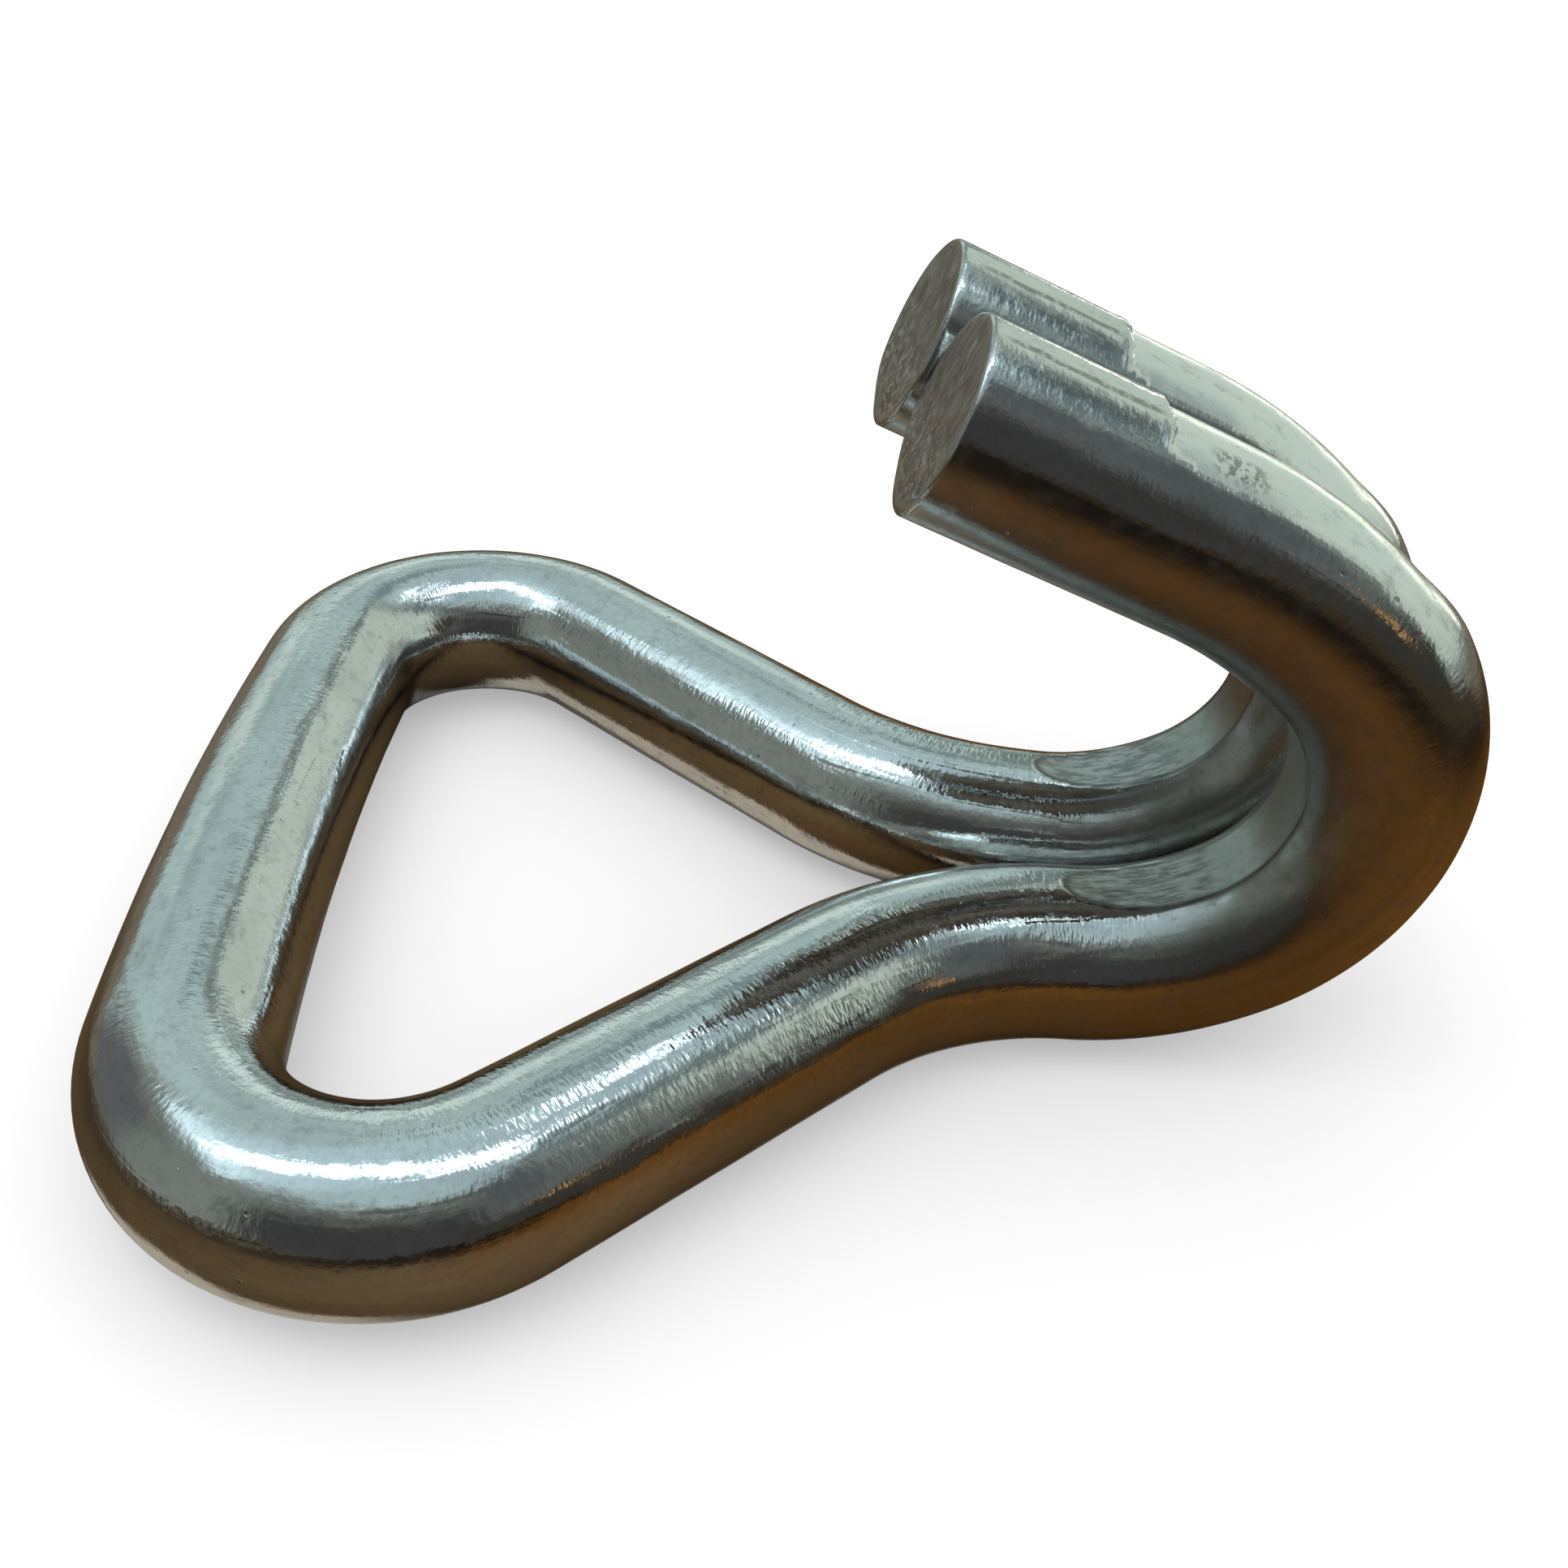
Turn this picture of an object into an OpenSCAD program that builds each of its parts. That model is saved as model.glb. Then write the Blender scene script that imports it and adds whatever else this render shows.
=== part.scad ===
// Double-J wire hook for tie-down strap webbing.
// One length of round steel bar, cold-bent: a triangular webbing eye whose two
// legs run together at the neck and curl side by side into a J hook.
// Millimetres. The origin is the centre of the hook's seat, where an anchor bar
// sits. X runs from the webbing crossbar (negative) to the hook's crown, Y along
// the anchor bar, and Z from the eye up to the two cut ends.
// The bar is drawn as a bend table, from the middle of the crossbar to one cut
// end, and mirrored for the other half.

/* [Bar] */
// Diameter of the round steel bar
bar_d = 6; // [5.6:0.1:6]

/* [Webbing eye] */
// Centreline radius of the slightly bowed crossbar
bow_r = 141; // [140.5:0.5:146]
// Centreline radius of each corner bend
corner_r = 6.1; // [6.1:0.1:6.6]
// Length of the straight leg between the corner and the neck bend
leg_len = 12.4; // [12:0.1:12.4]
// Centreline radius of the bend where each leg turns into the neck
neck_r = 12.8; // [12.2:0.1:13]

/* [Hook] */
// Centreline radius of the hook's first bend, at the neck
entry_r = 10; // [9.7:0.1:10.5]
// Centreline radius of the hook's tight bend, round the seat
seat_bend_r = 6.9; // [6.8:0.05:7]
// Centreline radius of the last bend, towards the cut end
exit_r = 16.5; // [15:0.5:20]
// Length of the straight after the last bend, to the cut end
tip_len = 9.1; // [7.1:0.2:11.1]
// Slope at which the hook's legs lean together, so that the cut ends nearly touch
lean = 0.022; // [0.018:0.002:0.022]

/* [Forming lands] */
// Depth that the mandrel pressed into the inside of the hook
seat_land = 0.3; // [0.25:0.05:0.35]
// Depth that the roller pressed into the outside of the hook
roller_land = 0.2; // [0.1:0.05:0.3]
// Half the angle of bar surface that the roller pressed, in degrees
roller_half = 45; // [40:1:50]
// How far the roller's land runs along the straight towards the cut end
roller_run = 3.2; // [2:0.2:5]

/* [Hidden] */
$fn = 96;
bar_r = bar_d / 2;
cutter = 4 * bow_r; // side of the cube that trims a bend, larger than any bend

// A turn is [cos, sin] of its angle. Every bend's angle is made from the 3-4-5
// triangle, because its cosine and sine are then short exact decimals and each
// stretch of bar meets the next one's face exactly.
// The turn of count times 36.87 degrees:
function turns(count) = count == 0 ? [1, 0] :
    let (last = turns(count - 1))
    [0.8 * last[0] - 0.6 * last[1], 0.6 * last[0] + 0.8 * last[1]];

bow_turn = -turns(5);                           // 4.35 degrees
corner_turn = [bow_turn[1], bow_turn[0]];       // 85.65 degrees, to a leg along the hook
leg_turn = -turns(6);                           // 41.22 degrees, the leg's slope to the hook's length
entry_turn = [-turns(4)[0], turns(4)[1]];       // 32.52 degrees
seat_turn = [-turns(2)[0], turns(2)[1]];        // 106.26 degrees
exit_turn = [turns(3)[1], -turns(3)[0]];        // 20.61 degrees
lean_turn = [1 - lean * lean / 2, lean];

// Eye, on the centreline: length in X from the crossbar's middle to the neck
eye_len = bow_r * (1 - bow_turn[0])
    + corner_r * (bow_turn[0] + leg_turn[1])
    + leg_len * leg_turn[0]
    + neck_r * leg_turn[1];
// and each neck's distance in Y from the middle
neck_y = (bow_r - corner_r) * bow_turn[1]
    + corner_r * leg_turn[0]
    - leg_len * leg_turn[1]
    - neck_r * (1 - leg_turn[0]);

// Centre of the seat bend, [along the neck, up] from the first bend's start
centre_step = entry_r - seat_bend_r;
seat_centre = [centre_step * entry_turn[1], entry_r - centre_step * entry_turn[0]];

// The mandrel's seat, and the softer curve that leads into it
seat_r = seat_bend_r - bar_r + seat_land;
lead_r = seat_r + 2;
lead_shallower = 0.02; // how much less deep than the seat's land the lead-in presses
lead_angle = atan2(entry_turn[1], entry_turn[0]) - 4;
// Lead-in's centre, first from the entry bend's centre, then as [x, z]
lead_offset = entry_r - bar_r + seat_land - lead_shallower - lead_r;
lead_centre = [
    lead_offset * sin(lead_angle) - seat_centre[0],
    entry_r - seat_centre[1] - lead_offset * cos(lead_angle)
];
// Box that the lead-in is kept to
lead_start_x = -seat_centre[0] - 4;
lead_end_x = seat_r * sin(lead_angle + 7);
lead_top_z = -2;

// The roller's land: an arc of a larger circle, roller_land lower at its middle
land_r = bar_r - roller_land;
roller_offset = (bar_r * bar_r - pow(land_r, 2)) / 2 / (land_r - bar_r * cos(roller_half));
roller_r = land_r + roller_offset;

// Turns about Z
module turned(turn) multmatrix([
    [turn[0], -turn[1], 0, 0],
    [turn[1], turn[0], 0, 0],
    [0, 0, 1, 0],
    [0, 0, 0, 1]
]) children();

// Moves to the end of a bend to the left that starts at the origin, heading +x
module at_bend_end(radius, turn)
    translate([0, radius, 0])
    turned(turn)
    translate([0, -radius, 0])
    children();

// Section of the bar: round, or as the roller left it, with +x out of the bend
module section(pressed) {
    if (pressed) intersection() {
        circle(r = bar_r, $fn = 64);
        translate([-roller_offset, 0]) circle(r = roller_r, $fn = 96);
    }
    else circle(r = bar_r, $fn = 64);
}

// Everything ahead of the local origin, along +x
module ahead() translate([0, -cutter / 2, -cutter / 2]) cube(cutter);

// A bend to the left from the origin, heading +x. What follows starts at its end
module bend(radius, turn, pressed = false) {
    intersection() {
        translate([0, radius, 0])
            rotate_extrude($fn = 240) translate([radius, 0]) section(pressed);
        ahead();
        at_bend_end(radius, turn) mirror([1, 0, 0]) ahead();
    }
    at_bend_end(radius, turn) children();
}

// A straight from the origin, heading +x. What follows starts at its end
module straight(len, pressed = false) {
    // Section's +x goes to -y, out of the bend before it
    multmatrix([[0, 0, 1, 0], [-1, 0, 0, 0], [0, -1, 0, 0], [0, 0, 0, 1]])
        linear_extrude(height = len) section(pressed);
    translate([len, 0, 0]) children();
}

// Stands the hook's plane up from the eye, leaning to the other leg
module stand() multmatrix([
    [1, 0, 0, 0],
    [0, lean_turn[0], -lean_turn[1], 0],
    [0, lean_turn[1], lean_turn[0], 0],
    [0, 0, 0, 1]
]) rotate([90, 0, 0]) children();

// The hook of one leg: three bends and the straight that ends at the cut
module hook_side() stand()
    bend(entry_r, entry_turn)
    bend(seat_bend_r, seat_turn)
    bend(exit_r, exit_turn, pressed = true)
    straight(roller_run, pressed = true)
    straight(tip_len - roller_run);

// One half of the bar, from the middle of the crossbar, heading +y
module half_bar() turned([0, 1]) mirror([0, 1, 0])
    bend(bow_r, bow_turn)
    bend(corner_r, corner_turn)
    bend(corner_r, leg_turn)
    straight(leg_len)
    mirror([0, 1, 0])
    bend(neck_r, leg_turn)
    hook_side();

// A cylinder along Y, centred on the origin
module roll(radius, len)
    rotate([90, 0, 0]) cylinder(r = radius, h = len, center = true, $fn = 180);

// What the mandrel pressed away on the inside of both legs
module mandrel() {
    width = 2 * (neck_y + bar_r + 1);
    roll(seat_r, width);
    intersection() {
        translate([lead_centre[0], 0, lead_centre[1]]) roll(lead_r, width + 2);
        translate([lead_start_x, -width / 2 - 2, lead_top_z - lead_r])
            cube([lead_end_x - lead_start_x, width + 4, lead_r]);
    }
}

module hook_bar() color([0.72, 0.73, 0.71]) difference() {
    translate([-eye_len - seat_centre[0], 0, -seat_centre[1]]) {
        half_bar();
        mirror([0, 1, 0]) half_bar();
    }
    mandrel();
}

hook_bar();
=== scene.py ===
# Double-J wire hook: one cold-bent steel bar, mirrored about the plane y = 0.
# The eye lies flat at the -x end, with its crossbar along y. Two hooks side by side run on
# towards +x, stand up and curl back over. The origin is the centre of the seat bends.
# The CAD bar's place and bends are kept; its surface is rebuilt as a fine mesh with pressed
# lands, sheared ends and the slight unevenness of drawn, bent bar.
import math
from types import SimpleNamespace

import bpy
import numpy as np
from mathutils import Matrix, Vector


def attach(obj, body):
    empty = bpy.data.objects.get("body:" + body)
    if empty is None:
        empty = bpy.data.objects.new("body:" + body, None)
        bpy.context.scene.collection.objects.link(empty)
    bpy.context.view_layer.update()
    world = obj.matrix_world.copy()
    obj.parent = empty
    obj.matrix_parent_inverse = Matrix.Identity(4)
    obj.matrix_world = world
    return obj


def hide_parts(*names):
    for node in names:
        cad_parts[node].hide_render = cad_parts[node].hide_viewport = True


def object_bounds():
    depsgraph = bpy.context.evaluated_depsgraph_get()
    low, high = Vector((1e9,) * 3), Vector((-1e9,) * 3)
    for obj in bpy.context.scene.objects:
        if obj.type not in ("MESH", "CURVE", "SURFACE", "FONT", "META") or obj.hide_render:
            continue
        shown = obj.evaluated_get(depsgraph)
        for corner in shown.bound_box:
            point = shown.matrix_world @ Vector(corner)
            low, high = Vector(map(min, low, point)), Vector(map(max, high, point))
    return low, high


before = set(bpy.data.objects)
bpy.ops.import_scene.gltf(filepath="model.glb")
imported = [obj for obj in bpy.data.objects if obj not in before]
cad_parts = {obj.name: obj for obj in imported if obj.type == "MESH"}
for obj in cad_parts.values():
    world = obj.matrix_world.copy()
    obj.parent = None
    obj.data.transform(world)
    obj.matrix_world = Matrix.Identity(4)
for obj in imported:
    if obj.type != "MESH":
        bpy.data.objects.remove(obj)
cad_lo, cad_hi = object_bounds()

MM = 0.001

# ---------------------------------------------------------------- bend table, in mm
BAR_R = 3.0
# centreline radii and straight lengths, in order from the crossbar's middle to a cut end
BOW_R, CORNER_R, LEG_LEN, NECK_R = 141.0, 6.1, 12.4, 12.8
ENTRY_R, SEAT_R, EXIT_R, TIP_LEN = 10.0, 6.9, 16.5, 9.1
LEAN = 0.022  # sideways lean of each hook, radians
SEAT_LAND = 0.3  # depth of the land pressed by the mandrel inside the hook
ROLLER_LAND = 0.2  # depth of the roller's land on the outer side
ROLLER_HALF = 45.0  # half the angle that land takes up round the bar, degrees
ROLLER_RUN = 3.2  # how far it runs on past the exit bend
NEAR_CUT = 0.25  # the -y end was cut this much shorter
RIM = 0.16  # rounding of the cut edges

AROUND = 128  # points round the bar
RIM_RINGS, FACE_RINGS = 5, 14
PIT_AT = 71.2  # distance of the near end's first pitted patch from the crossbar's middle


def unit(count):
    """(cos, sin) of a number of turns by the 3-4-5 triangle's smaller angle."""
    x, y = 1.0, 0.0
    for _ in range(count):
        x, y = 0.8 * x - 0.6 * y, 0.6 * x + 0.8 * y
    return x, y


# (cos, sin) of the angle each bend turns through
BOW_TURN = (-unit(5)[0], -unit(5)[1])
CORNER_TURN = (BOW_TURN[1], BOW_TURN[0])
LEG_TURN = (-unit(6)[0], -unit(6)[1])
ENTRY_TURN = (-unit(4)[0], unit(4)[1])
SEAT_TURN = (-unit(2)[0], unit(2)[1])
EXIT_TURN = (unit(3)[1], -unit(3)[0])

EYE_LEN = (
    BOW_R * (1 - BOW_TURN[0])
    + CORNER_R * (BOW_TURN[0] + LEG_TURN[1])
    + LEG_LEN * LEG_TURN[0]
    + NECK_R * LEG_TURN[1]
)
# x and z of the seat bend's centre from the start of the entry bend
SEAT_C = (
    (ENTRY_R - SEAT_R) * ENTRY_TURN[1],
    ENTRY_R - (ENTRY_R - SEAT_R) * ENTRY_TURN[0],
)


# ---------------------------------------------------------------- the bar's centreline
def turn_z(angle):
    cos, sin = math.cos(angle), math.sin(angle)
    return np.array([[cos, -sin, 0, 0], [sin, cos, 0, 0], [0, 0, 1, 0], [0, 0, 0, 1.0]])


def shift(x, y=0.0, z=0.0):
    matrix = np.eye(4)
    matrix[:3, 3] = (x, y, z)
    return matrix


MIRROR = np.diag([1.0, -1, 1, 1])
LEAN_COS = 1 - LEAN ** 2 / 2
LEANING = np.array([[1, 0, 0, 0], [0, LEAN_COS, -LEAN, 0], [0, LEAN, LEAN_COS, 0], [0, 0, 0, 1.0]])
UPRIGHT = np.array([[1, 0, 0, 0], [0, 0, -1, 0], [0, 1, 0, 0], [0, 0, 0, 1.0]])


def half_pieces():
    """(length, radius or 0, start matrix, lies flat) from the crossbar's middle to a cut end."""
    place = shift(-EYE_LEN - SEAT_C[0], 0, -SEAT_C[1]) @ turn_z(math.pi / 2) @ MIRROR
    pieces = []

    def bend(radius, turn, flat):
        nonlocal place
        angle = math.atan2(turn[1], turn[0])
        pieces.append((radius * angle, radius, place, flat))
        place = place @ shift(0, radius) @ turn_z(angle) @ shift(0, -radius)

    bend(BOW_R, BOW_TURN, True)
    bend(CORNER_R, CORNER_TURN, True)
    bend(CORNER_R, LEG_TURN, True)
    pieces.append((LEG_LEN, 0.0, place, True))
    place = place @ shift(LEG_LEN) @ MIRROR
    bend(NECK_R, LEG_TURN, True)
    place = place @ LEANING @ UPRIGHT
    bend(ENTRY_R, ENTRY_TURN, False)
    bend(SEAT_R, SEAT_TURN, False)
    bend(EXIT_R, EXIT_TURN, False)
    pieces.append((TIP_LEN, 0.0, place, False))
    return pieces


PIECES = half_pieces()
STARTS = np.concatenate([[0.0], np.cumsum([piece[0] for piece in PIECES])])
EXIT_START, TIP_START, HALF = (float(start) for start in STARTS[-3:])


def half_frames(dist):
    """Centre, tangent and up side at distances from the crossbar's middle, on the +y half."""
    centre, tangent, up = (np.zeros((len(dist), 3)) for _ in range(3))
    which = np.clip(np.searchsorted(STARTS, dist, side="right") - 1, 0, len(PIECES) - 1)
    for i, (_, radius, matrix, flat) in enumerate(PIECES):
        here = which == i
        along = dist[here] - STARTS[i]
        zero = 0 * along
        angle = along / radius if radius else zero
        sin, cos = np.sin(angle), np.cos(angle)
        run = radius * sin if radius else along
        local_centre = np.stack([run, radius * (1 - cos), zero, zero + 1], 1)
        local_tangent = np.stack([cos, sin, zero, zero], 1)
        local_up = np.stack([zero, zero, zero + 1, zero] if flat else [-sin, cos, zero, zero], 1)
        centre[here] = (local_centre @ matrix.T)[:, :3]
        tangent[here] = (local_tangent @ matrix.T)[:, :3]
        up[here] = (local_up @ matrix.T)[:, :3]
    tangent /= np.linalg.norm(tangent, axis=1)[:, None]
    up -= (up * tangent).sum(1)[:, None] * tangent
    up /= np.linalg.norm(up, axis=1)[:, None]
    return centre, tangent, up


def frames(dist):
    """Centre, tangent, up and side for the whole bar; distances are negative on the -y half."""
    centre, tangent, up = half_frames(np.abs(dist))
    near = dist < 0
    flip = np.array([1.0, -1, 1])
    centre[near] *= flip
    tangent[near] *= -flip
    up[near] *= flip
    return centre, tangent, up, np.cross(tangent, up)


# ---------------------------------------------------------------- scalar fields
def smooth(x, off, on):
    """0 at off, 1 at on, smooth between."""
    t = np.clip((np.asarray(x, float) - off) / (on - off), 0, 1)
    return t * t * (3 - 2 * t)


def waves(points, seed, length):
    """A smooth field of unit-ish size over points (mm), from sines in seeded directions."""
    count = 14
    rng = np.random.default_rng(seed)
    total = np.zeros(len(points))
    for _ in range(count):
        pitch = rng.normal(size=3)
        pitch *= 2 * math.pi / (length * rng.uniform(0.7, 1.4)) / np.linalg.norm(pitch)
        total += np.sin(points @ pitch + rng.uniform(0, 2 * math.pi))
    return total / math.sqrt(count / 2)


# ---------------------------------------------------------------- the bar's mesh
ROUND = np.arange(AROUND) * 2 * math.pi / AROUND  # angle round the bar from its up side


def half_rings(end):
    """Distances of the rings from the crossbar's middle to a cut end."""
    # from, to, spacing: closest where the roller's land begins
    spans = [
        (0, 44, 0.30), (44, 51, 0.13), (51, 64, 0.22),
        (64, 72.4, 0.20), (72.4, 74.4, 0.07), (74.4, end - RIM, 0.16),
    ]
    rings = [0.0]
    for low, high, spacing in spans:
        count = max(1, round((high - low) / spacing))
        rings += [low + (high - low) * k / count for k in range(1, count + 1)]
    return np.array(rings)


def press_seat(points):
    """Move the points that the mandrel pressed in out to the mandrel's surface."""
    seat_r = SEAT_R - BAR_R + SEAT_LAND
    lead_r = seat_r + 2  # the rounder lead-in, over the entry bend
    entry_angle = math.atan2(ENTRY_TURN[1], ENTRY_TURN[0])
    lead_angle = entry_angle - math.radians(4)
    lead_off = ENTRY_R - BAR_R + SEAT_LAND - 0.02 - lead_r
    lead_c = np.array([
        lead_off * math.sin(lead_angle) - SEAT_C[0],
        ENTRY_R - SEAT_C[1] - lead_off * math.cos(lead_angle),
    ])
    lead_end = seat_r * math.sin(lead_angle + math.radians(7))
    in_lead = (points[:, 0] > -SEAT_C[0] - 4) & (points[:, 0] < lead_end) & (points[:, 2] < -2)
    pressed = points.copy()
    for centre, radius, where in (
        (np.zeros(2), seat_r, np.ones(len(points), bool)),
        (lead_c, lead_r, in_lead),
    ):
        away = pressed[:, [0, 2]] - centre
        dist = np.linalg.norm(away, axis=1)
        hit = where & (dist < radius) & (dist > 0.2)
        pressed[np.ix_(hit, [0, 2])] = centre + away[hit] / dist[hit, None] * radius
    return pressed


def roller_land(dist, theta, bar):
    """Depth and mask of the roller's land; theta is in degrees from the bar's outer side."""
    floor_top = BAR_R - ROLLER_LAND
    edge_cos = math.cos(math.radians(ROLLER_HALF))
    # the land's floor is a flatter arc, off the bar's axis
    off = (BAR_R ** 2 - floor_top ** 2) / 2 / (floor_top - BAR_R * edge_cos)
    floor_r = floor_top + off
    angle = np.radians(theta)
    root = np.sqrt(np.maximum(floor_r ** 2 - (off * np.sin(angle)) ** 2, 0))
    depth = np.maximum(BAR_R - (root - off * np.cos(angle)), 0) * (np.abs(theta) < 90)
    ragged = 0.05 * waves(bar, seed=11, length=0.9) + 0.03 * waves(bar, seed=12, length=0.4)
    # the far edge is ragged and falls back at the land's sides
    edge = TIP_START + ROLLER_RUN - 1.15 * smooth(np.abs(theta), 36, 47) + ragged
    mask = smooth(dist, edge + 0.05, edge - 0.07) * smooth(dist, EXIT_START - 1.3, EXIT_START + 0.5)
    return depth * mask, mask


# pitted patches: which end (sign of y), distance and half length in mm,
# angle and half width in degrees from the outer side, weight
PITTED = [
    (-1, PIT_AT, 0.75, 33, 10, 1.0),
    (-1, 76.0, 1.6, 33, 9, 0.8),
    (1, 75.5, 1.3, -20, 14, 0.5),
]


def bar_surface(rings):
    """Points, straightened-bar places, tangents, masks and the radii before pressing."""
    centre, tangent, up, side = frames(rings)
    radial = np.cos(ROUND)[None, :, None] * up[:, None] + np.sin(ROUND)[None, :, None] * side[:, None]
    radial = radial.reshape(-1, 3)
    along = np.repeat(rings, AROUND)
    dist = np.abs(along)
    angle = np.tile(ROUND, len(rings))
    bar = np.stack([along, BAR_R * np.cos(angle), BAR_R * np.sin(angle)], 1)
    theta = np.degrees(np.angle(-np.exp(1j * angle)))

    # the drawn bar's unevenness
    uneven = (
        0.0035 * waves(bar * [0.8, 1, 1], seed=1, length=4.6)
        + 0.0016 * waves(bar, seed=2, length=2.0)
        + 0.0007 * waves(bar, seed=3, length=1.0)
    )
    # the roller's land, the small lip it pushed up ahead of it, and its grain
    depth, out_mask = roller_land(dist, theta, bar)
    lip = 0.018 * np.exp(-((dist - (TIP_START + ROLLER_RUN) - 0.16) / 0.10) ** 2)
    lip *= smooth(np.abs(theta), 44, 34)
    land_grain = out_mask * (np.abs(theta) < 48)
    land_grain *= 0.0022 * waves(bar * [1, 1.5, 1.5], seed=5, length=0.9)
    pits = smooth(waves(bar, seed=21, length=0.55), 0.55, 1.5)
    patch = sum(
        weight * np.exp(-((dist - at) / reach) ** 2 - ((theta - turn) / width) ** 2) * (along * end > 0)
        for end, at, reach, turn, width, weight in PITTED
    )
    depth = depth + 0.022 * pits * patch
    clearance = 0.012  # keeps the surface just inside the CAD bar
    radius = BAR_R - clearance - depth - uneven + lip + land_grain
    points = np.repeat(centre, AROUND, axis=0) + radius[:, None] * radial

    # the mandrel's land, with a grainy floor that follows the bar
    pressed = press_seat(points)
    gone = np.linalg.norm(pressed - points, axis=1)
    in_mask = smooth(gone, 0.004, 0.03)
    grain_zone = smooth(dist, 53.5, 50.5)
    grain = (
        0.006 * waves(bar * [0.55, 2.0, 2.0], seed=7, length=0.75) * grain_zone
        + 0.0015 * waves(bar, seed=8, length=1.4)
    )
    pressed -= (grain * in_mask)[:, None] * radial

    # the inside of the hook is rougher than the rest, and its colour is darkened there as painted shade
    from_inside = np.degrees(np.abs(np.angle(np.exp(1j * angle))))
    masks = {
        "dull": smooth(dist, 45.5, 51.5) * smooth(from_inside, 118, 72),
        "in": in_mask,
        "out": out_mask * smooth(depth, 0.004, 0.02),
        # edge: a thin band round the rim of the mandrel's land, painted near black as painted shade in
        # its crease
        "edge": smooth(gone, 0.0, 0.010) * (1 - smooth(gone, 0.03, 0.085)),
        "end": np.zeros(len(points)),
        "grain": grain_zone * in_mask,
    }
    return pressed, bar, np.repeat(tangent, AROUND, axis=0), masks, radius.reshape(-1, AROUND)


def cut_face(end, seed, edge_radius):
    """A sheared end: a small rim, a face with shear marks, and its middle point."""
    outward = math.copysign(1.0, end)
    centre, tangent, up, side = (rows[0] for rows in frames(np.array([end])))
    tangent = outward * tangent
    # 1 on the side where the rim is widest, 8 degrees from the up side
    lip_side = smooth(np.abs(np.degrees(np.angle(np.exp(1j * (ROUND - math.radians(8)))))), 62, 18)
    rim = RIM * (0.75 + 1.1 * lip_side + 0.2 * np.sin(3 * ROUND + seed))

    rings = []  # radius, height past the end
    for k in range(1, RIM_RINGS + 1):
        angle = k / RIM_RINGS * math.pi / 2
        rings.append((edge_radius - rim * (1 - math.cos(angle)), RIM * (math.sin(angle) - 1)))
    for k in range(1, FACE_RINGS + 1):
        rings.append(((edge_radius - rim) * (1 - k / (FACE_RINGS + 1)) ** 0.9, 0.0))

    points, bars = [], []
    for radius, height in rings:
        x, y = radius * np.cos(ROUND), radius * np.sin(ROUND)
        on_face = smooth(BAR_R - radius, 0.0, 0.5)
        flat = np.stack([x, y, np.full(AROUND, seed * 9.0)], 1)
        # shear marks run across the face, which sinks a little towards the lip
        marks = (
            0.010 * waves(flat * [0.35, 2.2, 1], seed=31 + seed, length=1.0)
            + 0.008 * waves(flat, seed=32 + seed, length=0.7)
            + 0.012 * waves(flat, seed=33 + seed, length=2.2)
        )
        height = height - on_face * (0.01 + marks + 0.025 * (x / BAR_R + 1))
        height = np.minimum(height - 0.07 * lip_side * smooth(radius, 1.6, 2.9), -0.004)
        points.append(centre + x[:, None] * up + y[:, None] * side + height[:, None] * tangent)
        bars.append(np.stack([outward * (abs(end) + height), x, y], 1))
    points.append((centre - 0.045 * tangent)[None])
    bars.append(np.array([[end, 0, 0]]))
    return np.concatenate(points), np.concatenate(bars)


def build_bar():
    near_end = HALF - NEAR_CUT
    rings = np.concatenate([-half_rings(near_end)[::-1], half_rings(HALF)[1:]])
    points, bar, tangent, masks, radius = bar_surface(rings)
    verts, bars, along = [points], [bar], [tangent]
    # both faces take the +y end's up side as their brushing direction
    face_along = frames(np.array([HALF]))[2]
    face_mask = np.repeat([0.4] * RIM_RINGS + [1.0] * FACE_RINGS, AROUND)
    face_mask = np.append(face_mask, 1.0)
    for end, seed, edge_radius in ((-near_end, 1, radius[0]), (HALF, 2, radius[-1])):
        face_points, face_bar = cut_face(end, seed, edge_radius)
        verts.append(face_points)
        bars.append(face_bar)
        along.append(np.repeat(face_along, len(face_points), axis=0))
        for name in masks:
            extra = face_mask if name == "end" else 0 * face_mask
            masks[name] = np.concatenate([masks[name], extra])

    body = np.arange(len(points)).reshape(-1, AROUND)
    near = len(points) + np.arange(len(face_mask) - 1).reshape(-1, AROUND)
    near_tip = len(points) + len(face_mask) - 1
    far, far_tip = near + len(face_mask), near_tip + len(face_mask)
    grid = np.concatenate([near[::-1], body, far])
    low, high = grid[:-1], grid[1:]
    quads = np.stack([low, np.roll(low, -1, 1), np.roll(high, -1, 1), high], -1).reshape(-1, 4)
    near_fan = np.stack([np.roll(near[-1], -1), near[-1], np.full(AROUND, near_tip)], -1)
    far_fan = np.stack([far[-1], np.roll(far[-1], -1), np.full(AROUND, far_tip)], -1)
    tris = np.concatenate([near_fan, far_fan])
    return np.concatenate(verts), quads, tris, np.concatenate(bars), np.concatenate(along), masks


def add_attribute(mesh, name, kind, values):
    layer = mesh.attributes.new(name, kind, "POINT")
    key = "vector" if kind == "FLOAT_VECTOR" else "value"
    layer.data.foreach_set(key, values.astype(np.float32).ravel())


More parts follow.
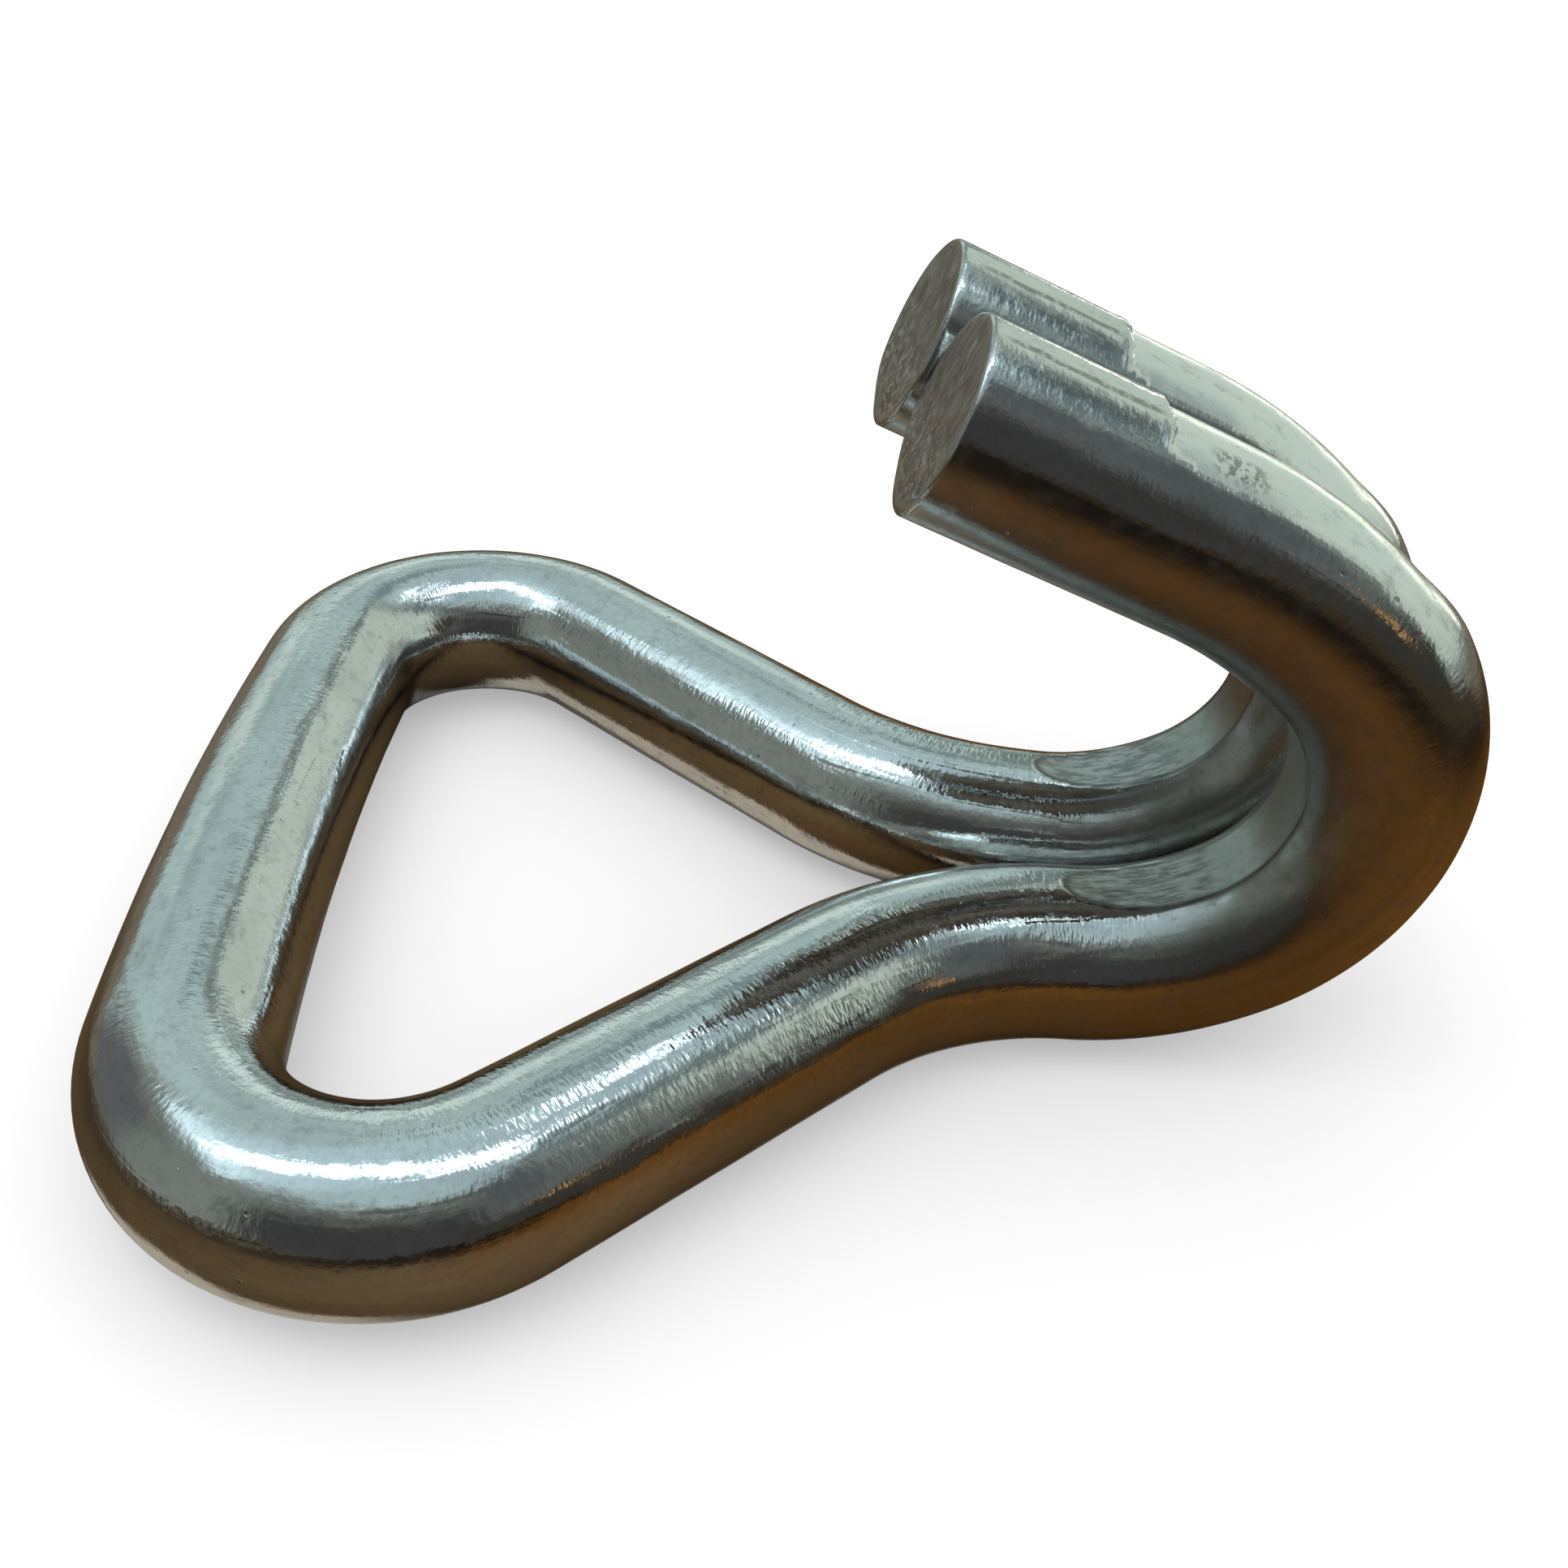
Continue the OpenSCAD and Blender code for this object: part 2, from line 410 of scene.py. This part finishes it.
def hook_object():
    verts, quads, tris, bars, along, masks = build_bar()
    # keep every point inside the CAD bar's own box
    inset = 0.002
    verts = np.clip(verts, np.array(cad_lo) / MM + inset, np.array(cad_hi) / MM - inset)

    mesh = bpy.data.meshes.new("steel_bar_surface")
    mesh.vertices.add(len(verts))
    mesh.vertices.foreach_set("co", (verts * MM).astype(np.float32).ravel())
    corners = np.concatenate([quads.ravel(), tris.ravel()]).astype(np.int32)
    mesh.loops.add(len(corners))
    mesh.loops.foreach_set("vertex_index", corners)
    starts = np.concatenate([np.arange(len(quads)) * 4, quads.size + np.arange(len(tris)) * 3])
    mesh.polygons.add(len(starts))
    mesh.polygons.foreach_set("loop_start", starts.astype(np.int32))
    mesh.update(calc_edges=True)
    mesh.validate()
    mesh.polygons.foreach_set("use_smooth", np.ones(len(mesh.polygons), bool))

    add_attribute(mesh, "bar", "FLOAT_VECTOR", bars)
    add_attribute(mesh, "along", "FLOAT_VECTOR", along)
    for name, values in masks.items():
        add_attribute(mesh, "m_" + name, "FLOAT", values)
    made = bpy.data.objects.new("hook_surface", mesh)
    bpy.context.scene.collection.objects.link(made)
    return made


# ---------------------------------------------------------------- node helpers
class Graph:
    """Short calls for building a node tree; each returns an output socket unless noted."""

    def __init__(self, owner):
        owner.use_nodes = True
        self.tree = owner.node_tree
        self.tree.nodes.clear()

    def node(self, kind, **props):
        """A new node itself."""
        made = self.tree.nodes.new(kind)
        for key, value in props.items():
            setattr(made, key, value)
        return made

    def put(self, socket, value):
        if isinstance(value, bpy.types.NodeSocket):
            self.tree.links.new(value, socket)
        else:
            socket.default_value = value

    def fill(self, kind, *values, **props):
        """A node with its first inputs set, in order."""
        made = self.node(kind, **props)
        for socket, value in zip(made.inputs, values):
            self.put(socket, value)
        return made

    def math(self, kind, *values):
        return self.fill("ShaderNodeMath", *values, operation=kind).outputs[0]

    def add(self, total, *terms):
        for term in terms:
            total = self.math("ADD", total, term)
        return total

    def mul(self, total, *terms):
        for term in terms:
            total = self.math("MULTIPLY", total, term)
        return total

    def away(self, x, centre):
        """How far x is from centre."""
        return self.math("ABSOLUTE", self.add(x, -centre))

    def step(self, x, off, on):
        """0 at off, 1 at on, smooth between."""
        ends = (off, on, 0.0, 1.0) if off < on else (on, off, 1.0, 0.0)
        props = {"interpolation_type": "SMOOTHSTEP", "clamp": True}
        return self.fill("ShaderNodeMapRange", x, *ends, **props).outputs[0]

    def band(self, x, rise, fall):
        """1 between two steps, each given as (off, on)."""
        return self.mul(self.step(x, *rise), self.step(x, *fall))

    def ramp(self, x, span, to):
        """x over span, mapped in a straight line to the two values of to."""
        return self.fill("ShaderNodeMapRange", x, *span, *to, clamp=True).outputs[0]

    def mix(self, factor, under, over):
        made = self.node("ShaderNodeMix", data_type="RGBA")
        self.put(made.inputs[0], factor)
        for socket, colour in ((made.inputs[6], under), (made.inputs[7], over)):
            self.put(socket, (*colour, 1.0) if isinstance(colour, tuple) else colour)
        return made.outputs[2]

    def coat(self, under, mask, amount, colour):
        return self.mix(self.mul(mask, amount), under, colour)

    def attr(self, name, output="Fac"):
        return self.node("ShaderNodeAttribute", attribute_name=name).outputs[output]

    def split(self, vector):
        """The x, y and z sockets."""
        return self.fill("ShaderNodeSeparateXYZ", vector).outputs

    def noise(self, vector, scale, detail=2.0, rough=0.5, shift=(0, 0, 0), turn=(0, 0, 0)):
        made = self.node("ShaderNodeTexNoise")
        spot = self.fill("ShaderNodeMapping", vector, shift, turn, scale, vector_type="POINT")
        self.put(made.inputs["Vector"], spot.outputs[0])
        made.inputs["Scale"].default_value = 1.0
        made.inputs["Detail"].default_value = detail
        made.inputs["Roughness"].default_value = rough
        return made.outputs[0]

    def cells(self, vector, scale, shift=(0, 0, 0), turn=(0, 0, 0)):
        """Distance to the nearest seed, and that seed's random red, green and blue."""
        made = self.node("ShaderNodeTexVoronoi", feature="F1")
        spot = self.fill("ShaderNodeMapping", vector, shift, turn, scale, vector_type="POINT")
        self.put(made.inputs["Vector"], spot.outputs[0])
        made.inputs["Scale"].default_value = 1.0
        colour = self.fill("ShaderNodeSeparateColor", made.outputs["Color"])
        return made.outputs["Distance"], colour.outputs

    def ray(self, kind):
        return self.node("ShaderNodeLightPath").outputs[kind]

    def shader(self, kind, *values):
        return self.fill("ShaderNode" + kind, *values).outputs[0]

    def principled(self, **values):
        made = self.node("ShaderNodeBsdfPrincipled")
        for name, value in values.items():
            self.put(made.inputs[name.replace("_", " ")], value)
        return made.outputs[0]

    def output(self, kind, shader):
        self.put(self.node("ShaderNodeOutput" + kind).inputs[0], shader)


# ---------------------------------------------------------------- bright drawn steel
# Noise over the straightened bar (x along it, y and z across it, in mm):
# scale, detail, roughness, then shift and turn where they are not zero
STEEL_NOISE = {
    "patchy": ((0.22, 0.5, 0.5), 2, 0.55),
    "cloud": ((0.9, 1.3, 1.3), 3, 0.6, (7, 3, 1)),
    "ridges": ((4.4, 2.2, 2.2), 1, 0.5, (0, 5, 2), (0, 0, 0.25)),
    "ticks": ((9.0, 2.8, 2.8), 1, 0.6, (6, 1, 2), (0, 0, -0.15)),
    "rows": ((0.14, 1.25, 1.25), 1, 0.5, (2, 6, 6)),
    "mottle": ((4.0, 3.4, 3.4), 2, 0.68, (5, 2, 8)),
    "dirt": ((1.2, 1.7, 1.7), 4, 0.72, (9, 4, 6)),
    "draw": ((0.16, 4.2, 4.2), 2, 0.6, (3, 0, 0)),
    "peel": ((1.5, 1.9, 1.9), 1, 0.5, (1, 8, 4)),
    "fine": ((8.5, 6.0, 6.0), 1, 0.6),
    "grain": ((1.1, 7.5, 7.5), 2, 0.65, (2, 2, 9)),
    "end_marks": ((2, 1.2, 7.0), 3, 0.65, (0, 0, 3)),
}


def steel_fields(net):
    """The masks (m_...), noises, specks and hairlines that the steel is made from."""
    bar = net.attr("bar", "Vector")
    tex = SimpleNamespace(**{name: net.noise(bar, *spec) for name, spec in STEEL_NOISE.items()})
    for name in ("in", "out", "end", "edge", "grain", "dull"):
        setattr(tex, "m_" + name, net.attr("m_" + name))
    tex.x, tex.y, tex.z = net.split(bar)

    dist, seed = net.cells(bar, scale=(1.7, 1.7, 1.7))
    size = net.ramp(seed[0], span=(0.72, 1.0), to=(0.0, 0.17))
    tex.speck = net.step(net.math("SUBTRACT", dist, size), off=0.0, on=-0.05)
    dist, seed = net.cells(bar, scale=(0.55, 5.5, 0.55), shift=(4, 1, 7), turn=(0.5, 0.3, 1.15))
    tex.hair = net.mul(net.step(dist, off=0.10, on=0.02), net.step(seed[1], off=0.80, on=0.84))
    return tex


def steel_height(net, tex):
    """Height of the fine relief, mm; most factors below are amplitudes in mm."""
    worked = net.math("MAXIMUM", net.math("MAXIMUM", tex.m_in, tex.m_end), tex.m_out)
    plain = net.math("SUBTRACT", 1.0, worked)
    bright = net.mul(plain, net.math("SUBTRACT", 1.0, tex.m_dull))
    ridged = net.step(tex.patchy, off=0.36, on=0.60)

    def by_ridged(low, high):
        return net.ramp(ridged, span=(0, 1), to=(low, high))

    # cross ridges, and ticks that are strongest in rows along the up side
    row_mask = net.mul(net.step(tex.rows, off=0.50, on=0.60), net.step(tex.y, off=0.2, on=1.8))
    tick_size = net.add(by_ridged(0.0018, 0.0065), net.mul(row_mask, by_ridged(0.004, 0.021)))
    ridges = net.add(net.mul(tex.ridges, by_ridged(0.0020, 0.0110)), net.mul(tex.ticks, tick_size))
    fine_size = net.add(net.mul(tex.m_end, 0.006), 0.0016, net.mul(bright, 0.0026))
    return net.add(
        net.mul(ridges, bright),
        net.mul(tex.draw, 0.0045),
        net.mul(tex.peel, net.add(net.mul(plain, 0.0060), 0.0030)),
        net.mul(tex.fine, fine_size),
        net.mul(tex.grain, tex.m_grain, 0.014),
        net.mul(tex.mottle, tex.m_out, 0.0035),
        net.mul(tex.speck, -0.010),
        net.mul(tex.hair, -0.004),
        net.mul(tex.end_marks, tex.m_end, 0.022),
    )


def steel_roughness(net, tex):
    """A clouded base, plus what each mask adds to it."""
    return net.add(
        net.ramp(tex.cloud, span=(0.3, 0.75), to=(0.085, 0.16)),
        net.mul(tex.m_out, 0.12),
        net.mul(net.step(tex.dirt, off=0.50, on=0.74), 0.14),
        net.mul(tex.m_dull, net.ramp(tex.y, span=(-0.2, 2.2), to=(0.04, 0.17))),
        net.mul(tex.m_in, 0.10),
        net.mul(tex.m_grain, 0.16),
        net.mul(tex.m_end, 0.24),
        net.mul(tex.speck, 0.12),
    )


def face_tone(net, tex):
    """Colour of the cut faces."""
    marks = net.step(tex.end_marks, off=0.38, on=0.62)
    face = net.mix(marks, (0.31, 0.262, 0.245), (0.56, 0.515, 0.495))
    face = net.coat(face, net.step(tex.cloud, off=0.47, on=0.62), 0.6, (0.25, 0.20, 0.175))
    # the shear tore the side it entered by, and its flecks are painted bright on that one side as a
    # painted highlight
    flecks = net.step(tex.mottle, off=0.50, on=0.60)
    torn_and_highlit = net.mul(flecks, net.step(tex.y, off=-1.2, on=1.6), tex.m_end)
    return net.mix(torn_and_highlit, face, (0.74, 0.74, 0.73))


def steel_tone(net, tex):
    """Base colour, laid on in coats."""
    patches = net.step(tex.patchy, off=0.35, on=0.65)
    tone = net.mix(patches, (0.700, 0.705, 0.700), (0.780, 0.785, 0.775))
    shaded_inside_cloud = net.step(tex.cloud, off=0.42, on=0.62)
    grain_mix = net.add(net.mul(tex.grain, 0.6), net.mul(tex.cloud, 0.4))
    grain_step = net.step(grain_mix, off=0.40, on=0.60)
    for mask, amount, colour in (
        (net.step(tex.cloud, off=0.52, on=0.72), 0.35, (0.60, 0.61, 0.60)),
        (net.step(tex.mottle, off=0.52, on=0.34), 0.30, (0.50, 0.505, 0.495)),
        (tex.m_out, 0.8, (0.90, 0.91, 0.90)),
        # painted shade: the inside of the hook is darkened
        (tex.m_dull, 0.75, net.mix(shaded_inside_cloud, (0.35, 0.345, 0.32), (0.27, 0.265, 0.245))),
        (tex.m_in, 0.6, (0.36, 0.375, 0.36)),
        (tex.m_grain, 0.92, net.mix(grain_step, (0.29, 0.29, 0.275), (0.60, 0.605, 0.585))),
        # painted shade: a near-black line along the crease at the mandrel land's rim
        (tex.m_edge, 0.85, (0.09, 0.09, 0.085)),
    ):
        tone = net.coat(tone, mask, amount, colour)
    tone = net.mix(tex.m_end, tone, face_tone(net, tex))

    # marks on the outer side by the ends: a dark line with a bluish patch beside it, both painted
    # reflection bands, and the near end's pitted patch
    side = net.math("ABSOLUTE", tex.z)
    reach = net.math("ABSOLUTE", tex.x)
    outer = net.step(tex.y, off=-1.2, on=-2.0)
    wander = net.mul(net.add(tex.cloud, -0.5), 0.35)
    line = net.mul(
        net.step(net.math("ABSOLUTE", net.add(side, -0.86, wander)), off=0.17, on=0.05),
        outer,
        net.band(reach, rise=(73.5, 74.1), fall=(78.9, 78.2)),
        net.step(tex.mottle, off=0.30, on=0.50),
    )
    painted_bluish_patch = net.mul(
        net.step(net.away(side, centre=1.50), off=0.42, on=0.15),
        net.band(reach, rise=(73.7, 74.2), fall=(79.0, 77.6)),
        outer,
        net.step(tex.dirt, off=0.38, on=0.56),
    )
    pit = net.mul(
        net.step(net.away(tex.x, centre=-PIT_AT), off=1.15, on=0.5),
        net.step(net.away(tex.z, centre=-1.45), off=0.62, on=0.25),
        outer,
        net.step(tex.mottle, off=0.44, on=0.56),
    )
    for mask, amount, colour in (
        (tex.speck, 0.6, (0.30, 0.29, 0.28)),
        (net.step(tex.dirt, off=0.50, on=0.76), 0.50, (0.28, 0.27, 0.25)),
        # painted reflection: the dark line and the bluish patch beside it
        (line, 0.75, (0.20, 0.20, 0.195)),
        (painted_bluish_patch, 0.60, (0.24, 0.26, 0.265)),
        (pit, 0.72, (0.17, 0.18, 0.18)),
    ):
        tone = net.coat(tone, mask, amount, colour)
    return tone


def drawn_steel():
    mat = bpy.data.materials.new("bright_drawn_steel")
    net = Graph(mat)
    tex = steel_fields(net)
    bump = net.node("ShaderNodeBump")
    bump.inputs["Strength"].default_value = 1.0
    bump.inputs["Distance"].default_value = MM
    net.put(bump.inputs["Height"], steel_height(net, tex))
    net.output("Material", net.principled(
        Base_Color=steel_tone(net, tex),
        Roughness=steel_roughness(net, tex),
        Metallic=1.0,
        Anisotropic=0.25,
        Tangent=net.attr("along", "Vector"),
        Normal=bump.outputs[0],
    ))
    return mat


def plain_steel():
    """The same finish without the worked surface."""
    mat = bpy.data.materials.new("bright_steel_plain")
    net = Graph(mat)
    spot = net.node("ShaderNodeNewGeometry").outputs[0]
    coarse = net.noise(spot, scale=(400, 400, 400))
    fine = net.noise(spot, scale=(900, 900, 900))
    net.output("Material", net.principled(
        Metallic=1.0,
        Base_Color=net.mix(coarse, (0.66, 0.67, 0.66), (0.76, 0.77, 0.76)),
        Roughness=net.ramp(fine, span=(0.3, 0.7), to=(0.18, 0.28)),
    ))
    return mat


hook = hook_object()
hook.data.materials.append(drawn_steel())
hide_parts("hook_bar")
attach(hook, "root")

cad_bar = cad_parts["hook_bar"]
cad_bar.data.materials.clear()
cad_bar.data.materials.append(plain_steel())

# ---------------------------------------------------------------- camera pose
TURN_VECTOR = Vector((2.1984508991865006, 0.052155647826960125, 0.08095174062602539))
# rows are the camera's right, down and forward directions
CAMERA_TURN = Matrix.Rotation(TURN_VECTOR.length, 3, TURN_VECTOR.normalized())
# where the entry bends start, midway between the hooks: mm right, down and ahead of the camera
ENTRY_SEEN = Vector((10.86305814062, 2.82988276243, 58.77689343103))


# ---------------------------------------------------------------- floor
def worktop(net):
    """The floor as the steel mirrors it: a warm worktop with painted light and shade, darker away from
    the hook.
    """
    geometry = net.node("ShaderNodeNewGeometry").outputs
    spot, incoming = geometry["Position"], geometry["Incoming"]
    reach = net.fill("ShaderNodeVectorMath", spot, operation="LENGTH").outputs["Value"]
    x, y, _ = net.split(spot)
    plank = net.noise(spot, scale=(16, 190, 1), detail=3, rough=0.6)
    wood = net.mix(plank, (0.105, 0.043, 0.006), (0.245, 0.106, 0.018))
    paler = net.mix(plank, (0.135, 0.086, 0.040), (0.290, 0.190, 0.088))
    wood = net.mix(net.step(x, off=0.002, on=-0.022), wood, paler)
    # painted light and shade: brighter near the hook, dimmer away from it and towards -y
    bright = net.mul(
        net.ramp(reach, span=(0.020, 0.075), to=(1.0, 0.14)),
        net.ramp(y, span=(-0.060, -0.028), to=(0.45, 1.18)),
        net.ramp(net.step(y, off=-0.024, on=-0.012), span=(0.0, 1.0), to=(1.0, 0.80)),
    )
    dim = net.node("ShaderNodeVectorMath", operation="SCALE")
    net.put(dim.inputs[0], wood)
    net.put(dim.inputs["Scale"], bright)

    # far off it is painted paler behind the hook and to its left, as painted light
    left = net.step(x, off=-0.02, on=-0.10)
    far = net.mix(left, (0.014, 0.010, 0.005), (0.135, 0.115, 0.080))
    far = net.mix(net.step(x, off=0.04, on=0.12), far, (0.060, 0.044, 0.024))
    far = net.mix(net.step(y, off=0.010, on=0.055), far, (0.235, 0.205, 0.145))
    # painted light: a paler patch beside the hook
    painted_light_beside = net.mul(net.step(x, off=-0.033, on=-0.041), net.step(y, off=-0.002, on=0.011))
    colour = net.mix(net.step(reach, off=0.030, on=0.085), dim.outputs[0], far)
    colour = net.mix(painted_light_beside, colour, (0.235, 0.205, 0.150))
    warm = net.shader("BsdfDiffuse", colour)

    # mirror rays that come down nearly along the view; they see some of the pale floor
    view = tuple(-CAMERA_TURN[2])
    facing = net.fill("ShaderNodeVectorMath", incoming, view, operation="DOT_PRODUCT")
    down = net.split(incoming)
    along_view = net.mul(
        net.step(facing.outputs["Value"], off=0.86, on=0.95),
        net.step(down[2], off=0.62, on=0.74),
    )

    # a painted reflection of the overhead strip, laid on the worktop as a glow
    depth = net.math("MAXIMUM", down[2], 0.05)
    slope_x, slope_y = (net.math("DIVIDE", down[i], depth) for i in (0, 1))
    strip_reflection_mask = net.mul(
        net.step(net.away(slope_y, centre=-0.27), off=0.42, on=0.26),
        net.band(slope_x, rise=(-0.05, 0.22), fall=(0.95, 0.75)),
    )
    painted_strip_reflection = net.shader("Emission", (0.36, 0.34, 0.29, 1), strip_reflection_mask)
    return net.shader("AddShader", warm, painted_strip_reflection), net.mul(along_view, 0.20)


def pale_floor():
    mat = bpy.data.materials.new("pale_floor")
    net = Graph(mat)
    pale = net.shader("BsdfDiffuse", (0.92, 0.92, 0.92, 1))
    lift = net.shader("Emission", (1, 1, 1, 1), 0.38)
    seen = net.shader("AddShader", pale, lift)
    worktop_with_painted_light, pale_share = worktop(net)
    mirrored = net.shader("MixShader", pale_share, worktop_with_painted_light, seen)
    net.output("Material", net.shader("MixShader", net.ray("Is Glossy Ray"), seen, mirrored))
    return mat


FLOOR_GAP = 0.00003  # metres below the bar
bpy.ops.mesh.primitive_plane_add(size=1.6, location=(0, 0, cad_lo.z - FLOOR_GAP))
floor = bpy.context.object
floor.name = "floor"
floor.data.materials.append(pale_floor())

# ---------------------------------------------------------------- light: a soft room
# Soft-edged panels, each laid over those before it, in degrees: colour; azimuth of the
# middle, half width, softness; low edge, softness; high edge, softness
PANELS = [
    # back wall, with a lighter window-like patch and darker strips beside it
    ((0.457, 0.610, 0.600), 106, 36, 9, -1, 5, 56, 7),
    ((0.66, 0.80, 0.74), 121, 7, 3, 9, 4, 20, 3),
    ((0.34, 0.465, 0.475), 122, 8, 3, 23, 2, 30, 3),
    ((0.72, 0.88, 0.83), 96, 14, 4, 13, 3, 25, 4),
    ((0.20, 0.245, 0.23), 98, 12, 4, 1, 3, 9.5, 3),
    ((0.20, 0.28, 0.29), 84, 13, 5, 43, 3, 52, 3),
    ((0.30, 0.37, 0.36), 100, 11, 4, 28.6, 0.8, 31.0, 0.8),
    ((0.33, 0.41, 0.41), 104, 13, 4, 41.8, 0.8, 44.2, 0.8),
    ((0.19, 0.20, 0.19), 108, 34, 8, -12, 3, 1, 3),
    ((0.125, 0.13, 0.135), 163, 17, 8, -8, 6, 36, 8),
    # the dark side, behind the viewer
    ((0.050, 0.050, 0.051), -88, 44, 12, -14, 8, 42, 18),
    ((0.042, 0.040, 0.034), -36, 24, 6, -14, 8, 17, 7),
    ((0.100, 0.115, 0.118), -34, 14, 9, 18, 9, 54, 7),
    # the pale side wall, its darker edges, the light line along its foot, a warm spot
    ((0.548, 0.648, 0.575), 32.5, 44.5, 3.5, 5, 3, 43, 3),
    ((0.130, 0.175, 0.185), 6, 21, 7, 45.5, 2, 53, 3),
    ((0.50, 0.66, 0.67), 55, 16, 6, 49, 2.5, 57, 3),
    ((0.17, 0.22, 0.21), 75, 3.8, 1.6, 4, 3, 42, 4),
    ((3.2, 3.5, 3.0), 55, 17, 5, -3.4, 1.0, 2.2, 0.8),
    ((0.045, 0.043, 0.036), 55, 20, 5, -13, 3, -4.5, 1.2),
    ((1.0, 0.52, 0.16), -30, 2.4, 1.6, 10.5, 1.5, 13.5, 1.5),
]
PANEL_STRENGTH = 1.0
DEGREES = 180 / math.pi


def room_colour(net, x, y, z):
    """The room as the steel mirrors it, by direction."""
    sine = net.math("MAXIMUM", net.math("MINIMUM", z, 1.0), -1.0)
    elev = net.mul(net.math("ARCSINE", sine), DEGREES)

    def azimuth_from(centre):
        cos, sin = math.cos(math.radians(centre)), math.sin(math.radians(centre))
        ahead = net.add(net.mul(x, cos), net.mul(y, sin))
        across = net.add(net.mul(y, cos), net.mul(x, -sin))
        return net.mul(net.math("ARCTAN2", across, ahead), DEGREES)

    # dark below, grey-green walls, lighter ceiling
    room = net.mix(net.step(elev, off=-14, on=2), (0.030, 0.018, 0.008), (0.22, 0.25, 0.225))
    room = net.mix(net.step(elev, off=42, on=60), room, (0.47, 0.62, 0.64))
    room = net.mix(net.step(elev, off=58, on=72), room, (0.43, 0.57, 0.61))
    for colour, centre, half, soft, low, low_soft, high, high_soft in PANELS:
        mask = net.mul(
            net.step(net.math("ABSOLUTE", azimuth_from(centre)), off=half + soft, on=half - soft),
            net.step(elev, off=low - low_soft, on=low + low_soft),
            net.step(elev, off=high + high_soft, on=high - high_soft),
        )
        room = net.coat(room, mask, PANEL_STRENGTH, colour)

    # places on the ceiling, as slopes from the vertical
    ceil_x, ceil_y = (net.math("DIVIDE", axis, net.math("MAXIMUM", z, 0.05)) for axis in (x, y))

    def above():
        return net.step(elev, off=10, on=30)

    # the big overhead panel, brighter towards -x
    over = net.mix(net.step(x, off=0.35, on=-0.55), (0.375, 0.50, 0.545), (0.63, 0.845, 0.91))
    over = net.mix(net.step(x, off=-0.42, on=-0.64), over, (1.00, 1.31, 1.41))
    mask = net.mul(
        net.band(ceil_x, rise=(-1.05, -0.80), fall=(0.72, 0.46)),
        net.band(ceil_y, rise=(-0.50, -0.34), fall=(0.52, 0.26)),
        above(),
    )
    room = net.mix(mask, room, over)
    # the brighter strip that runs through it along x
    mask = net.mul(
        net.step(net.away(ceil_y, centre=-0.03), off=0.12, on=0.03),
        net.band(ceil_x, rise=(-0.86, -0.62), fall=(0.66, 0.42)),
        above(),
    )
    room = net.mix(mask, room, (3.4, 4.15, 4.30))
    # and a small diamond beside it
    reach = net.add(net.away(ceil_x, centre=0.39), net.away(ceil_y, centre=0.40))
    mask = net.mul(net.step(reach, off=0.18, on=0.06), above())
    return net.mix(mask, room, (2.65, 3.30, 3.45))


def soft_room():
    world = bpy.data.worlds.new("soft_room")
    net = Graph(world)
    x, y, z = net.split(net.node("ShaderNodeTexCoord").outputs["Generated"])
    mirrored = net.shader("Background", room_colour(net, x, y, z), 1.0)
    # all but mirrored rays see a plain soft grey sky, lighter overhead
    sky = net.mix(net.step(z, off=0.0, on=0.9), (0.42, 0.42, 0.42), (0.80, 0.80, 0.80))
    plain = net.shader("Background", sky)
    lit = net.shader("MixShader", net.ray("Is Glossy Ray"), plain, mirrored)
    # the camera itself sees white above the floor's edge
    white = net.shader("Background", (1.05, 1.05, 1.05, 1))
    net.output("World", net.shader("MixShader", net.ray("Is Camera Ray"), lit, white))
    world.cycles.sampling_method = "NONE"
    return world


scene = bpy.context.scene
scene.world = soft_room()
scene.cycles.max_bounces = 4
scene.cycles.diffuse_bounces = 1
scene.cycles.glossy_bounces = 3
scene.cycles.caustics_reflective = False
scene.cycles.caustics_refractive = False

key_data = bpy.data.lights.new("soft_key", "AREA")
key_data.shape = "RECTANGLE"
key_data.size = key_data.size_y = 0.30
key_data.energy = 0.22
key_data.color = (1.0, 0.99, 0.98)
key = bpy.data.objects.new("soft_key", key_data)
scene.collection.objects.link(key)
key.location = (-0.18, -0.10, 0.42)
to_origin = -Vector((-0.18, -0.10, 0.42))
key.rotation_euler = to_origin.to_track_quat("-Z", "Y").to_euler()
key.visible_glossy = False

# ---------------------------------------------------------------- camera
cam_data = bpy.data.cameras.new("camera")
cam_data.sensor_width = 36
cam_data.lens = 37.4558702
cam_data.shift_x = 0.0211246377
cam_data.shift_y = 0.0162088509
cam_data.clip_start, cam_data.clip_end = 0.002, 20
camera = bpy.data.objects.new("camera", cam_data)
scene.collection.objects.link(camera)
to_world = CAMERA_TURN.transposed()
entry_start = Vector((-SEAT_C[0], 0, -SEAT_C[1])) * MM
camera_at = entry_start - to_world @ (ENTRY_SEEN * MM)
# a Blender camera has y up and looks along -z
camera_axes = to_world @ Matrix(((1, 0, 0), (0, -1, 0), (0, 0, -1)))
camera.matrix_world = Matrix.Translation(camera_at) @ camera_axes.to_4x4()
scene.camera = camera
scene.view_settings.view_transform = "Standard"
scene.view_settings.look = "None"
